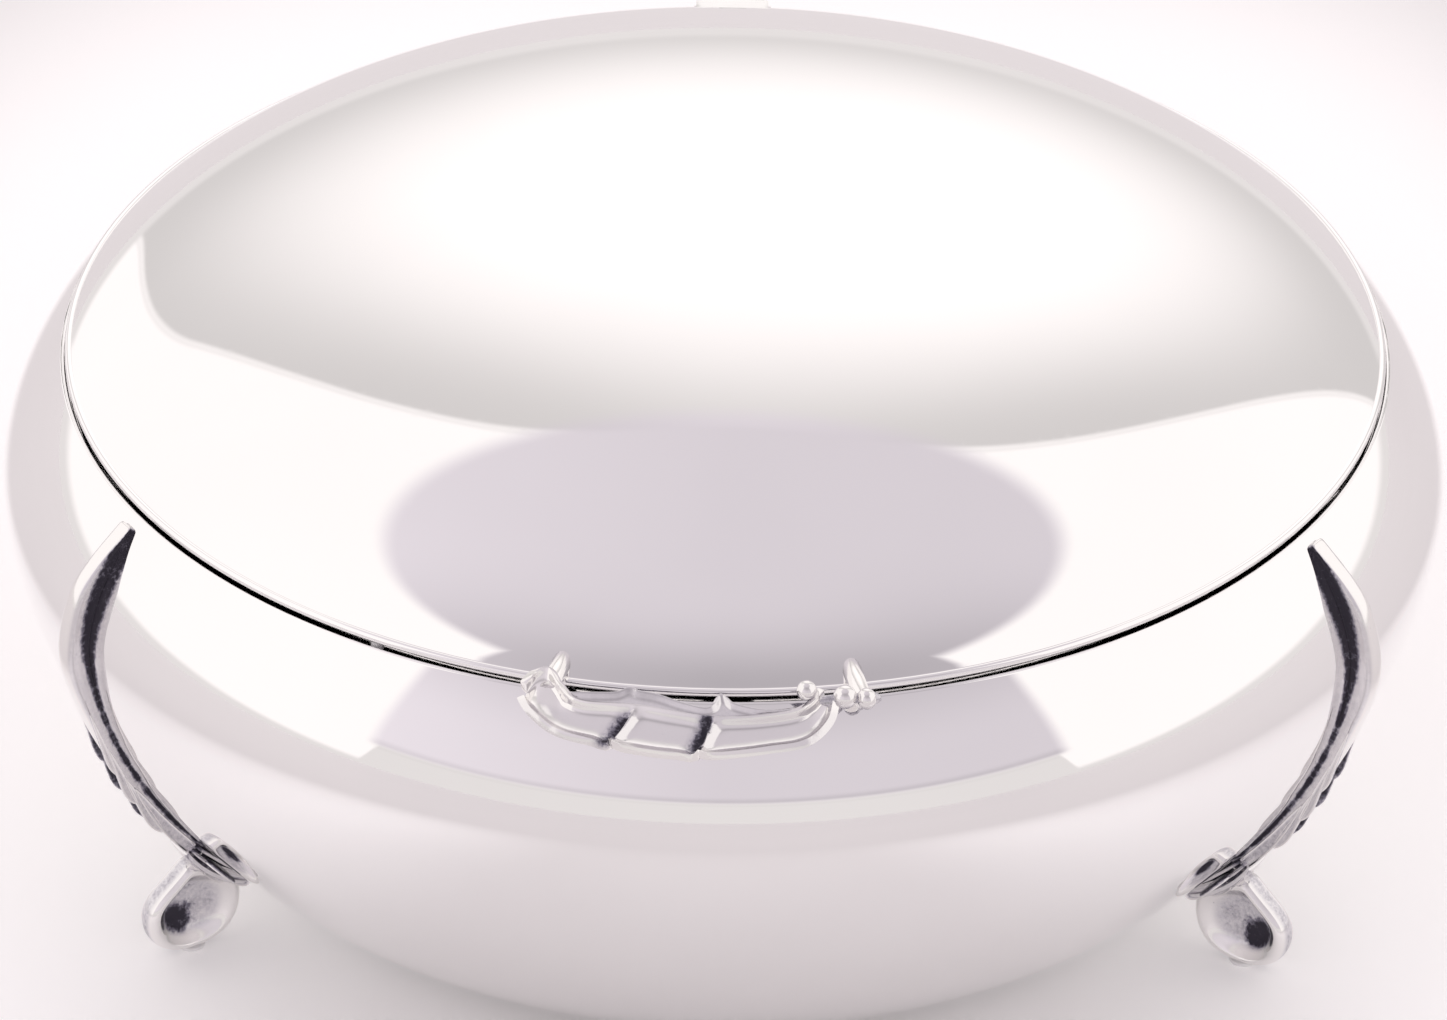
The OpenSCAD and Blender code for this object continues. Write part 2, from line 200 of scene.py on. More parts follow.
def settle(piece, name, body, look, replaced=()):
    # puts the place into the mesh, names the piece and hands it to the frame
    pickOnly(piece)
    bpy.ops.object.transform_apply(location=True, rotation=True, scale=True)
    piece.name = name
    piece.data.name = name
    piece.data.materials.clear()
    piece.data.materials.append(look)
    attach(piece, body)
    if replaced:
        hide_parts(*replaced)
    return piece


class Flow:
    # wraps a socket, so that sums on it add Math nodes
    def __init__(self, tree, socket=None):
        self.tree = tree
        self.socket = socket

    def make(self, kind, settings=None, inputs=None, out=0):
        node = self.tree.nodes.new(kind)
        for key, value in (settings or {}).items():
            if key == "stops":
                ramp = node.color_ramp
                while len(ramp.elements) < len(value):
                    ramp.elements.new(0.5)
                for element, (place, colour) in zip(ramp.elements, value):
                    element.position = place
                    element.color = colour
            else:
                setattr(node, key, value)
        for key, value in (inputs or {}).items():
            if isinstance(value, Flow):
                self.tree.links.new(value.socket, node.inputs[key])
            else:
                node.inputs[key].default_value = value
        return Flow(self.tree, node.outputs[out] if len(node.outputs) else None)

    def maths(self, operation, *values):
        return self.make("ShaderNodeMath", {"operation": operation}, dict(enumerate(values)))

    def __add__(self, other):
        return self.maths("ADD", self, other)

    def __sub__(self, other):
        return self.maths("SUBTRACT", self, other)

    def __mul__(self, other):
        return self.maths("MULTIPLY", self, other)

    def __truediv__(self, other):
        return self.maths("DIVIDE", self, other)

    def __pow__(self, other):
        return self.maths("POWER", self, other)

    def __rsub__(self, other):
        return self.maths("SUBTRACT", other, self)

    __radd__ = __add__
    __rmul__ = __mul__

    def size(self):
        return self.maths("ABSOLUTE", self)

    def between(self, low, high):
        # 0 below low, 1 above high, smooth in between
        return self.make("ShaderNodeMapRange", {"interpolation_type": "SMOOTHSTEP"},
                         {"Value": self, "From Min": low, "From Max": high})

    def blend(self, colourA, colourB):
        return self.make("ShaderNodeMix", {"data_type": "RGBA"},
                         {"Factor": self, 6: colourA, 7: colourB}, out=2)


def newLook(name):
    look = bpy.data.materials.new(name)
    look.use_nodes = True
    look.node_tree.nodes.clear()
    return look, Flow(look.node_tree)


def finishLook(flow, **inputs):
    shader = flow.make("ShaderNodeBsdfPrincipled", {}, {k.replace("_", " "): v for k, v in inputs.items()})
    flow.make("ShaderNodeOutputMaterial", {}, {"Surface": shader})


def colour(r, g, b):
    return (r, g, b, 1)


camera = {"distance": 3.452, "elevation": 30.8, "sideways": 0.3, "roll": 0.66,
          "aimHeight": 0.18, "tiltDown": 0.962, "lens": 248.8}

def placeCamera():
    elevation = math.radians(camera["elevation"])
    sideways = math.radians(camera["sideways"])
    aim = Vector((0, 0, camera["aimHeight"]))
    out = Vector((math.sin(sideways) * math.cos(elevation), -math.cos(sideways) * math.cos(elevation),
                  math.sin(elevation)))
    deselectAll()
    bpy.ops.object.camera_add(location=aim + out * camera["distance"])
    eye = bpy.context.object
    eye.name = "eye"
    facing = (Matrix.Rotation(sideways, 4, "Z")
              @ Matrix.Rotation(math.pi / 2 - elevation - math.radians(camera["tiltDown"]), 4, "X")
              @ Matrix.Rotation(math.radians(camera["roll"]), 4, "Z"))
    eye.rotation_euler = facing.to_euler()
    eye.data.lens = camera["lens"]
    eye.data.sensor_width = 36
    eye.data.clip_end = 50
    bpy.context.scene.camera = eye


tent = {"glow": 1.22, "side": 1.12, "rear": 0.70, "ceiling": 0.68, "front": 0.74, "below": 0.84}

def hangTent():
    world = bpy.data.worlds.new("lightTent")
    bpy.context.scene.world = world
    world.use_nodes = True
    world.node_tree.nodes.clear()
    flow = Flow(world.node_tree)
    way = flow.make("ShaderNodeTexCoord")
    unit = flow.make("ShaderNodeVectorMath", {"operation": "NORMALIZE"}, {0: way})
    split = flow.make("ShaderNodeSeparateXYZ", {}, {"Vector": unit})
    x = split
    y = Flow(flow.tree, split.socket.node.outputs[1])
    z = Flow(flow.tree, split.socket.node.outputs[2])
    degree = 180 / math.pi
    height = flow.maths("ARCSINE", z) * degree
    wide = flow.maths("ARCTAN2", x, 0 - y).size() * degree          # 0 in front, 180 behind
    behind = flow.maths("ARCTAN2", x, y) * degree - 3.0             # 0 behind, past 0 to the right
    glowSpread = (behind / 28) ** 2 + ((height - 31) / 25) ** 2
    glow = flow.maths("EXPONENT", 0 - glowSpread ** 2)
    narrow = (1 - height.between(-5, 28)) * (1 - behind.between(-8, 8)) * 13.0
    rearShape = (behind / (38 - narrow)) ** 4 + ((height - 18) / 43) ** 4
    rear = 1 - rearShape.between(0.95, 1.05)
    front = 1 - wide.between(51.5, 54.5)
    above = height.between(57.5, 60.5)
    dusk = 1 - (height - 60).size().between(0, 34)
    grey = tent["front"] + flow.maths("MAXIMUM", 0 - x, 0.0) * 0.2 - dusk * (0 - y).between(-0.2, 0.5) * 0.25
    greyMask = flow.maths("MAXIMUM", front * height.between(9.0, 11.0), above)
    rearTone = tent["rear"] + glow * (tent["glow"] - tent["rear"])
    edge = 1 - (rearShape - 1.06).size().between(0.0, 0.07)
    sideTone = tent["side"] - edge * 0.12
    tone = sideTone + (grey - sideTone) * greyMask
    tone = tone + (rearTone - tone) * rear
    sweepTop = 0.5 + front * 9.0                                    # the table curves up in front
    tone = tone + (tent["below"] - tone) * (1 - (height - sweepTop).between(-1, 1.5))
    tone = tone - (1 - (height - 10.5).size().between(0, 2.8)) * front * 0.12
    tint = greyMask.blend(colour(1, 0.955, 0.945), colour(1, 0.925, 0.985))
    lit = flow.make("ShaderNodeVectorMath", {"operation": "SCALE"}, {0: tint, "Scale": tone})
    shine = flow.make("ShaderNodeBackground", {}, {"Color": lit})
    flow.make("ShaderNodeOutputWorld", {}, {"Surface": shine})


floorLook = {"tone": (0.88, 0.86, 0.86), "width": 9.0, "lift": 0.26, "poolX": 0.38, "poolY": 0.56}

def layFloor():
    deselectAll()
    bpy.ops.mesh.primitive_plane_add(size=floorLook["width"], location=(0, 0, -0.0002))
    floor = bpy.context.object
    floor.name = "floor"
    look, flow = newLook("paleFloor")
    place = flow.make("ShaderNodeTexCoord", out=3)
    grain = flow.make("ShaderNodeTexNoise", {}, {"Vector": place, "Scale": 3.0, "Detail": 3.0})
    split = flow.make("ShaderNodeSeparateXYZ", {}, {"Vector": place})
    y = Flow(flow.tree, split.socket.node.outputs[1])
    # a soft pool of light round the dish, weaker right in front of it
    spread = (split.size() / floorLook["poolX"]) ** 3 + ((y - 0.1).size() / floorLook["poolY"]) ** 3
    front = (1 - y.between(-0.2, 0.05)) * (1 - split.size().between(0.1, 0.26))
    lift = (1 - spread.between(0.45, 1.35)) * (1 - front * 0.7) * floorLook["lift"]
    glow = lift.blend(colour(0, 0, 0), colour(1, 0.985, 0.985))
    finishLook(flow, Base_Color=grain.blend(colour(*floorLook["tone"]), colour(0.90, 0.88, 0.88)),
               Roughness=0.6, Emission_Color=glow, Emission_Strength=1.0)
    floor.data.materials.append(look)


placeCamera()
hangTent()
layFloor()
bpy.context.scene.view_settings.view_transform = "Standard"
print("stage: camera, light tent and floor")


def mirrorSteel():
    look, flow = newLook("mirrorSteel")
    place = flow.make("ShaderNodeTexCoord", out=3)
    cloud = flow.make("ShaderNodeTexNoise", {}, {"Vector": place, "Scale": 9.0, "Detail": 4.0})
    wipe = flow.make("ShaderNodeTexNoise", {}, {"Vector": place, "Scale": 260.0, "Detail": 2.0})
    ripple = flow.make("ShaderNodeTexNoise", {}, {"Vector": place, "Scale": 22.0, "Detail": 1.0})
    bump = flow.make("ShaderNodeBump", {}, {"Strength": 0.02, "Distance": 0.001, "Height": ripple})
    tone = cloud.between(0.35, 0.7).blend(colour(0.915, 0.905, 0.905), colour(0.93, 0.92, 0.92))
    finishLook(flow, Base_Color=tone, Metallic=1.0, Roughness=0.02 + wipe.between(0.45, 0.75) * 0.03,
               Normal=bump)
    return look


def castSilver():
    look, flow = newLook("castSilver")
    place = flow.make("ShaderNodeTexCoord", out=3)
    aged = flow.make("ShaderNodeAttribute", {"attribute_name": "aged"}, out=2)
    pits = flow.make("ShaderNodeTexNoise", {},
                     {"Vector": place, "Scale": 700.0, "Detail": 5.0, "Roughness": 0.7})
    blotch = flow.make("ShaderNodeTexNoise", {}, {"Vector": place, "Scale": 160.0, "Detail": 4.0})
    # the attribute brings painted shade; pits, blotches and specks add tarnish; together they darken and dull
    # the metal
    depth = aged + ((pits - 0.5) * 1.5 + (blotch - 0.5) * 0.8) * aged.between(0.05, 0.6)
    speck = pits.between(0.68, 0.73) * 0.6
    shadeTarnishMix = flow.maths("MAXIMUM", depth, speck)
    tone = flow.make("ShaderNodeValToRGB",
                     {"stops": [(0.0, colour(0.90, 0.885, 0.875)), (0.3, colour(0.62, 0.605, 0.64)),
                                (0.6, colour(0.22, 0.21, 0.26)), (0.9, colour(0.03, 0.026, 0.04))]},
                     {"Fac": shadeTarnishMix})
    bump = flow.make("ShaderNodeBump", {}, {"Strength": 0.3, "Distance": 0.0005,
                                            "Height": pits * (0.1 + aged) + blotch * 0.3})
    finishLook(flow, Base_Color=tone, Metallic=1.0 - shadeTarnishMix.between(0.4, 1.0) * 0.4,
               Roughness=0.11 + shadeTarnishMix.between(0.0, 0.9) * 0.38, Normal=bump)
    return look


def brushedSteel(name, tone, rough):
    look, flow = newLook(name)
    place = flow.make("ShaderNodeTexCoord", out=3)
    split = flow.make("ShaderNodeSeparateXYZ", {}, {"Vector": place})
    y = Flow(flow.tree, split.socket.node.outputs[1])
    z = Flow(flow.tree, split.socket.node.outputs[2])
    radius = (split ** 2.0 + y ** 2.0) ** 0.5
    rings = flow.make("ShaderNodeCombineXYZ", {}, {"X": radius * 900.0, "Y": z * 900.0, "Z": 0.0})
    grain = flow.make("ShaderNodeTexNoise", {}, {"Vector": rings, "Scale": 1.0, "Detail": 3.0})
    cloud = flow.make("ShaderNodeTexNoise", {}, {"Vector": place, "Scale": 25.0, "Detail": 3.0})
    bump = flow.make("ShaderNodeBump", {}, {"Strength": 0.12, "Distance": 0.0004, "Height": grain})
    darker = tuple(0.86 * c for c in tone)
    finishLook(flow, Base_Color=cloud.between(0.3, 0.75).blend(colour(*tone), colour(*darker)),
               Metallic=1.0, Roughness=rough + grain * 0.12, Normal=bump)
    return look


def paleSilicone():
    look, flow = newLook("paleSilicone")
    place = flow.make("ShaderNodeTexCoord", out=3)
    grain = flow.make("ShaderNodeTexNoise", {}, {"Vector": place, "Scale": 900.0, "Detail": 3.0})
    bump = flow.make("ShaderNodeBump", {}, {"Strength": 0.2, "Distance": 0.0003, "Height": grain})
    finishLook(flow, Base_Color=grain.blend(colour(0.80, 0.79, 0.79), colour(0.88, 0.87, 0.87)),
               Roughness=0.5 + grain * 0.15, Normal=bump)
    return look


mirror = mirrorSteel()
silver = castSilver()
panSteel = brushedSteel("panSteel", (0.78, 0.775, 0.77), 0.16)
hingeSteel = brushedSteel("hingeSteel", (0.86, 0.855, 0.85), 0.10)
screwSteel = brushedSteel("screwSteel", (0.66, 0.655, 0.65), 0.2)
brass = brushedSteel("tintedBrass", (0.72, 0.52, 0.24), 0.18)
silicone = paleSilicone()
looksBySlot = {"mirror_steel": mirror, "cast_silver": silver, "pan_steel": panSteel,
               "hinge_steel": hingeSteel, "fastener_steel": screwSteel, "brass_cup": brass,
               "silicone": silicone}
for part in frame["record"]["subparts"]:
    node = frame["nodes"][part["node"]]
    node.data.materials.clear()
    node.data.materials.append(looksBySlot[part["material_slot"]])
print("stage: finishes")


shellLow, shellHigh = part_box("outer_shell")
bowl = {"shoulderIn": 21 * mm, "bellyHeight": 134.5 * mm, "shoulderPower": 1.7, "bellyDrop": 166.5 * mm,
        "bellyPower": 1.7, "bellyRound": 2.47, "sheet": 1.2 * mm, "holeRadius": 110 * mm, "steps": 176,
        "lipRadius": 0.75 * mm}
bowlRadius = shellHigh.x
rimHeight = shellHigh.z
rimRadius = bowlRadius - bowl["shoulderIn"]

def bowlAt(z):
    # radius of the bowl's outside at a height
    if z > bowl["bellyHeight"]:
        up = (z - bowl["bellyHeight"]) / (rimHeight - bowl["bellyHeight"])
        return bowlRadius - bowl["shoulderIn"] * up ** bowl["shoulderPower"]
    down = (bowl["bellyHeight"] - z) / bowl["bellyDrop"]
    return bowlRadius * (1 - down ** bowl["bellyPower"]) ** (1 / bowl["bellyRound"])


def shiftLine(line, gap):
    # the line moved sideways, to the left of its direction for a positive gap
    moved = []
    for i, here in enumerate(line):
        a = Vector(line[max(i - 1, 0)])
        b = Vector(line[min(i + 1, len(line) - 1)])
        along = (b - a).normalized()
        moved.append((here[0] - along.y * gap, here[1] + along.x * gap))
    return moved


def arc(centre, radius, start, stop, count):
    return [(centre[0] + radius * math.cos(math.radians(start + (stop - start) * i / count)),
             centre[1] + radius * math.sin(math.radians(start + (stop - start) * i / count)))
            for i in range(count + 1)]


def makeBowl():
    floorHeight = shellLow.z
    foot = floorHeight + 3 * mm
    side = [(bowlAt(foot + (rimHeight - foot) * (1 - math.cos(math.pi * i / 56)) / 2),
             foot + (rimHeight - foot) * (1 - math.cos(math.pi * i / 56)) / 2) for i in range(57)]
    corner = side[0][0]
    under = [(bowl["holeRadius"], floorHeight), (bowl["holeRadius"] + 2 * mm, floorHeight),
             (corner - 8 * mm, floorHeight), (corner - 3.2 * mm, floorHeight + 0.8 * mm)]
    outside = under + side
    inside = shiftLine(outside, bowl["sheet"])
    shell = lathe(outside[:-1] + [(outside[-1][0], outside[-1][1] - 0.1 * mm)] + inside[::-1], bowl["steps"])
    lipRadius = bowl["lipRadius"]
    lip = lathe(arc((rimRadius - lipRadius, rimHeight - lipRadius), lipRadius, 0, 330, 11), bowl["steps"])
    shell = joinUp([shell, lip])
    soften(shell, 50)
    return settle(shell, "bowlShell", "bowl", mirror, ["outer_shell"])


ledge = {"innerRadius": 206 * mm}

def makeLedge():
    low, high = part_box("ledge_ring")
    inner = ledge["innerRadius"]
    line = [(inner, low.z), (inner, high.z - 0.5 * mm), (inner + 0.5 * mm, high.z),
            (high.x - 1.0 * mm, high.z), (high.x + 0.4 * mm, high.z - 1.3 * mm),
            (inner + 1.6 * mm, high.z - 1.4 * mm), (inner + 1.2 * mm, low.z)]
    ring = lathe(line, 128)
    soften(ring, 35)
    return settle(ring, "ledgeRing", "bowl", mirror, ["ledge_ring"])


makeBowl()
makeLedge()
print("stage: bowl")


lidLow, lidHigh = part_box("lid_shell")
lid = {"edge": 69.7, "sheet": 1.2 * mm, "beadRadius": 1.5 * mm, "gap": 0.8 * mm, "steps": 176, "rings": 46}
lidRise = lidHigh.z - rimHeight
lidHalfWidth = rimRadius / math.sin(math.radians(lid["edge"]))
lidHalfHeight = lidRise / (1 - math.cos(math.radians(lid["edge"])))
lidMiddle = lidHigh.z - lidHalfHeight
beadHeight = rimHeight + lid["gap"] + lid["beadRadius"]


def makeLid():
    foot = math.acos((beadHeight - lidMiddle) / lidHalfHeight)
    angles = [foot * (1 - i / lid["rings"]) for i in range(lid["rings"] + 1)]
    outside = [(lidHalfWidth * math.sin(a), lidMiddle + lidHalfHeight * math.cos(a)) for a in angles]
    inside = shiftLine(outside, lid["sheet"])
    inside[-1] = (0, inside[-1][1])
    shell = lathe(outside + inside[::-1], lid["steps"])
    soften(shell, 60)
    settle(shell, "lidShell", "lid", mirror, ["lid_shell"])
    centre = (outside[0][0] - lid["sheet"] / 2, beadHeight)
    bead = lathe(arc(centre, lid["beadRadius"], 0, 345, 23), lid["steps"])
    soften(bead, 60)
    settle(bead, "lidBead", "lid", mirror, ["lid_bead"])


makeLid()
print("stage: lid")


pans = {"sheet": 1.0 * mm, "draft": 8 * mm, "corner": 12 * mm, "steps": 128,
        "waterFlange": 16.5 * mm, "foodFlange": 11.5 * mm}

def makePan(node, name, body, flangeWidth):
    low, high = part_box(node)
    flange = high.z - pans["sheet"]
    wall = high.x - flangeWidth
    foot = wall - pans["draft"] - pans["corner"]
    outside = [(0, low.z), (foot * 0.5, low.z)]
    outside += [(foot + pans["corner"] * math.sin(math.radians(a)),
                 low.z + pans["corner"] * (1 - math.cos(math.radians(a)))) for a in range(0, 91, 10)]
    outside += [(wall - 0.4 * mm, flange - 2 * mm), (wall, flange - 0.8 * mm), (wall + 0.8 * mm, flange),
                (high.x - 1 * mm, flange)]
    inside = shiftLine(outside, pans["sheet"])
    inside[0] = (0, inside[0][1])
    edge = arc((high.x - 1 * mm, flange + pans["sheet"] / 2), pans["sheet"] / 2, -90, 90, 6)
    pan = lathe(outside[:-1] + edge + inside[:-1][::-1], pans["steps"])
    soften(pan, 40)
    return settle(pan, name, body, panSteel, [node])


makePan("water_pan", "waterPan", "bowl", pans["waterFlange"])
makePan("food_pan", "foodPan", "pan", pans["foodFlange"])
print("stage: pans")

# legs: one casting is made in millimetres on the +X side, X outwards and Z up, then copied round
leg = {"frontAngle": 59, "steps": 3, "footHalfWidth": 5.6}
ridgePoints = [(202.5, 30.5), (210.4, 36.8), (218.0, 45.9), (225.9, 56.7), (237.7, 75.7), (245.0, 91.0),
               (251.6, 106.9), (256.6, 121.0), (258.5, 131.0), (257.4, 143.0), (253.2, 156.6), (245.6, 166.2),
               (238.2, 172.8), (232.6, 177.6)]
skin = [Vector((bowlAt(z * mm) / mm, z)) for z in range(10, 179, 2)]


def offSkin(x, z):
    # how far a point of the leg stands off the bowl
    return min(math.hypot(x - point.x, z - point.y) for point in skin)


def onRidge(height, out=0.0):
    # the point at a height on the leg's outer ridge, moved square to it
    for (x0, z0), (x1, z1) in zip(ridgePoints, ridgePoints[1:]):
        if height <= z1:
            break
    share = (height - z0) / (z1 - z0)
    along = Vector((x1 - x0, z1 - z0)).normalized()
    return (x0 + (x1 - x0) * share + along.y * out, height - along.x * out)


def makeBar():
    widths = [12, 11.6, 11.2, 10.8, 10.4, 10, 9.8, 9.6, 9.4, 9, 8.2, 7.6, 7.2, 6.8]
    depths = [max(offSkin(*point) + 0.7, 1.6) for point in ridgePoints]
    line = smoothLine([p + (d, w) for p, d, w in zip(ridgePoints, depths, widths)], leg["steps"])
    path = []
    for i, (x, z, depth, width) in enumerate(line):
        a = line[max(i - 1, 0)]
        b = line[min(i + 1, len(line) - 1)]
        along = Vector((b[0] - a[0], b[1] - a[1])).normalized()
        path.append((x - along.y * depth / 2, z + along.x * depth / 2, depth, width))
    half = [(-1.0, 0.6), (-0.92, 0.84), (-0.55, 0.86), (-0.1, 0.82), (0.3, 0.9), (0.56, 1.0), (0.8, 0.86),
            (0.96, 0.5)]
    section = half + [(1.0, 0)] + [(n, -t) for n, t in half[::-1]]
    bar = sweep(section, path)
    addModifier(bar, "SUBSURF", levels=1, render_levels=1)

    def aged(place, normal):
        # painted shade: a dark wedge on the flanks along the bowl, where the leg meets it, that thins to a
        # line lower down
        flank = ease(abs(normal.y), 0.3, 0.7)
        reach = 1.2 + 3.0 * ease(place.z, 112, 160)
        core = 1 - ease(offSkin(place.x, place.z), 0.65 * reach, 1.35 * reach)
        return flank * (0.2 + 0.8 * core)
    paint(bar, aged)
    return bar


def makePlate(outline, side, rise, dip=0.5):
    # a leaf laid on one flank: drawn, thickened, then its middle sunk inside a raised edge
    halfWidth = 5.1
    plate = drawFace([(x, side * halfWidth * 0.55, z) for x, z in outline])
    out = side * (halfWidth * 0.45 + rise)
    bpy.ops.mesh.extrude_region_move(TRANSFORM_OT_translate={"value": (0, out, 0)})
    bpy.ops.mesh.inset(thickness=0.25)
    bpy.ops.mesh.inset(thickness=0.55)
    bpy.ops.transform.translate(value=(0, -side * dip, 0))
    bpy.ops.mesh.inset(thickness=0.6)
    finishMesh()
    addModifier(plate, "SUBSURF", levels=2, render_levels=2)
    face = side * (halfWidth + rise)

    def aged(place, normal):
        # painted shade: darker the deeper a point sits below the plate's raised face
        sunk = ease(abs(face) - abs(place.y), 0.1, 0.55)
        rim = ease(abs(face) - abs(place.y), 1.0, 2.2)
        return 0.06 + sunk * 0.26 + rim * 0.5
    paint(plate, aged)
    return plate


def makePlates():
    long = [onRidge(38, -4.2), onRidge(38, 0.2), onRidge(46, 0.7), onRidge(54, 0.9), onRidge(62, 0.4),
            onRidge(69, -0.6), onRidge(77, -2.2), onRidge(68, -2.9), onRidge(58, -3.3), onRidge(46, -3.8)]
    lowBarb = [onRidge(52, 0.2), onRidge(56, 2.3), onRidge(60, 2.9), onRidge(66, 1.5), onRidge(75, 0.1),
               onRidge(84, -1.7), onRidge(72, -1.9), onRidge(60, -1.4)]
    midBarb = [onRidge(67, 0.3), onRidge(70, 2.2), onRidge(74, 2.5), onRidge(80, 1.0), onRidge(89, -0.4),
               onRidge(98, -1.9), onRidge(84, -2.0), onRidge(73, -1.2)]
    topBarb = [onRidge(81, 0.2), onRidge(84, 1.5), onRidge(88, 1.6), onRidge(95, 0.2), onRidge(104, -0.8),
               onRidge(114, -1.8), onRidge(98, -1.9), onRidge(87, -1.2)]
    pieces = []
    for side in (-1, 1):
        pieces += [makePlate(long, side, 0.9), makePlate(lowBarb, side, 0.5, 0.4),
                   makePlate(midBarb, side, 0.35, 0.35), makePlate(topBarb, side, 0.2, 0.3)]
    return pieces


def makeCuff():
    # the banded block at the leg's foot end, lying along the bowl
    path = smoothLine([(192.4, 25.2, 6.5, 12.5), (197.5, 27.6, 7.6, 14), (204, 32.4, 8.4, 14.6),
                       (210.5, 38.6, 8.2, 14), (214.2, 43.4, 6.4, 12.6)], 2)
    half = [(-1.0, 0.7), (-0.8, 0.95), (-0.5, 1.0), (-0.42, 0.84), (-0.3, 0.84), (-0.22, 1.0), (0.1, 1.04),
            (0.18, 0.88), (0.3, 0.88), (0.38, 1.06), (0.72, 1.04), (0.95, 0.8)]
    section = half + [(1.06, 0)] + [(n, -t) for n, t in half[::-1]]
    cuff = sweep(section, path)
    addModifier(cuff, "BEVEL", width=0.25, segments=2, limit_method="ANGLE", angle_limit=math.radians(40))
    addModifier(cuff, "SUBSURF", levels=1, render_levels=1)

    def aged(place, normal):
        # painted shade: darkest in the banded grooves on the flanks, lighter on the rest of the flanks, faint
        # on top and bottom
        groove = 1 - ease(abs(place.y), 6.0, 6.9)
        flank = ease(abs(normal.y), 0.2, 0.6)
        return flank * (0.2 + 0.8 * groove) + (1 - flank) * 0.12
    paint(cuff, aged)
    return cuff


def makeScallop(side):
    # a scalloped lip that hangs from the cuff over the foot
    lip = [(211.5, 33.0), (207.0, 29.0), (204.2, 26.2), (201.4, 26.6), (198.5, 24.0), (194.5, 21.6),
           (191.2, 21.8), (191.8, 25.8), (199.0, 30.5), (206.0, 36.0)]
    return makePlate(lip, side, 1.6, 0.5)


def makeFoot():
    # an egg-shaped scroll, scooped on both sides
    outline = smoothLine([(212.6, 36.5), (219.5, 30.0), (226.0, 24.2), (229.6, 18.5), (229.4, 11.0),
                          (225.6, 4.4), (218.0, 0.9), (209.0, 0.9), (200.8, 3.6), (195.6, 9.4), (193.6, 17.0),
                          (195.0, 25.0), (201.5, 32.0)], 2)
    half = leg["footHalfWidth"]
    foot = drawFace([(x, -half * 0.45, z) for x, z in outline])
    bpy.ops.mesh.extrude_region_move(TRANSFORM_OT_translate={"value": (0, half * 0.9, 0)})
    finishMesh()
    # each step shrinks the side face, moves it out or in and slides it towards the toe
    steps = [(0.93, 0.34, 0, 0), (0.91, 0.18, 0, 0), (0.88, -0.16, 0.2, -0.1), (0.86, -0.34, 0.6, 0.3),
             (0.76, -0.28, 0.9, 0.4), (0.6, -0.08, 1.0, -0.2)]
    for side in (-1, 1):
        for group in (foot.data.vertices, foot.data.edges):
            for part in group:
                part.select = False
        for face in foot.data.polygons:
            face.select = len(face.vertices) > 4 and face.center.y * side > 0
        bpy.ops.object.mode_set(mode="EDIT")
        bpy.ops.mesh.select_mode(type="FACE")
        middle = Vector((211.5, 0, 17.0))
        for shrink, rise, shiftX, shiftZ in steps:
            move = (shiftX, side * rise * half, shiftZ)
            bpy.ops.mesh.extrude_region_move(TRANSFORM_OT_translate={"value": move})
            middle += Vector((shiftX, 0, shiftZ))
            bpy.ops.transform.resize(value=(shrink, 1, shrink), center_override=middle)
        bpy.ops.mesh.select_mode(type="VERT")
        bpy.ops.object.mode_set(mode="OBJECT")
    bpy.ops.object.mode_set(mode="EDIT")
    finishMesh()
    addModifier(foot, "SUBSURF", levels=2, render_levels=2)

    def aged(place, normal):
        # painted shade: dark in the scooped hollows, darkest round one spot in the cup
        toToe = math.hypot(place.x - 218.5, (place.z - 13.0) * 0.85)
        hollow = ease(0.62 * half - abs(place.y), 0, 2.4)
        return hollow * (1.0 - 0.72 * ease(toToe, 3.4, 7.0)) + 0.03
    paint(foot, aged)
    return foot


def makeCurl(side):
    # a small rolled leaf on the bowl beside the cuff
    outline = [(-7.6, -1.0), (-6.8, 2.6), (-2.6, 5.6), (3.0, 6.6), (7.8, 4.0), (9.2, -0.6), (6.4, -4.4),
               (0.6, -5.4), (-5.2, -4.4)]
    curl = drawFace([(x, y, 0) for x, y in outline])
    bpy.ops.mesh.extrude_region_move(TRANSFORM_OT_translate={"value": (0, 0, 2.2)})
    bpy.ops.transform.resize(value=(0.94, 0.94, 1))
    bpy.ops.mesh.inset(thickness=0.9)
    bpy.ops.mesh.inset(thickness=1.0)
    bpy.ops.transform.translate(value=(0, 0, -1.6))
    bpy.ops.mesh.inset(thickness=1.3)
    bpy.ops.transform.translate(value=(-0.4, 0.6, 1.1))
    finishMesh()
    addModifier(curl, "SUBSURF", levels=2, render_levels=2)
    # painted shade: dark in the sunk groove inside the curl's rim
    paint(curl, lambda place, normal: 0.1 + 0.8 * (1 - ease(place.z, 0.9, 1.8)) * ease(place.z, 0.1, 0.5))
    # stood on the bowl's skin, its long way down the leg
    lean = math.radians(48)
    centre = Vector((204.6, side * 11.4, 35.6))

    def stand(place):
        x, y, z = place.x, place.y * side, place.z
        drop = abs(y) * 0.06
        return centre + Vector((x * math.cos(lean) + (z - drop) * math.sin(lean), y + side * z * 0.25,
                                x * math.sin(lean) - (z - drop) * math.cos(lean)))
    reshape(curl, stand)
    pickOnly(curl)
    bpy.ops.object.mode_set(mode="EDIT")
    finishMesh()
    return curl


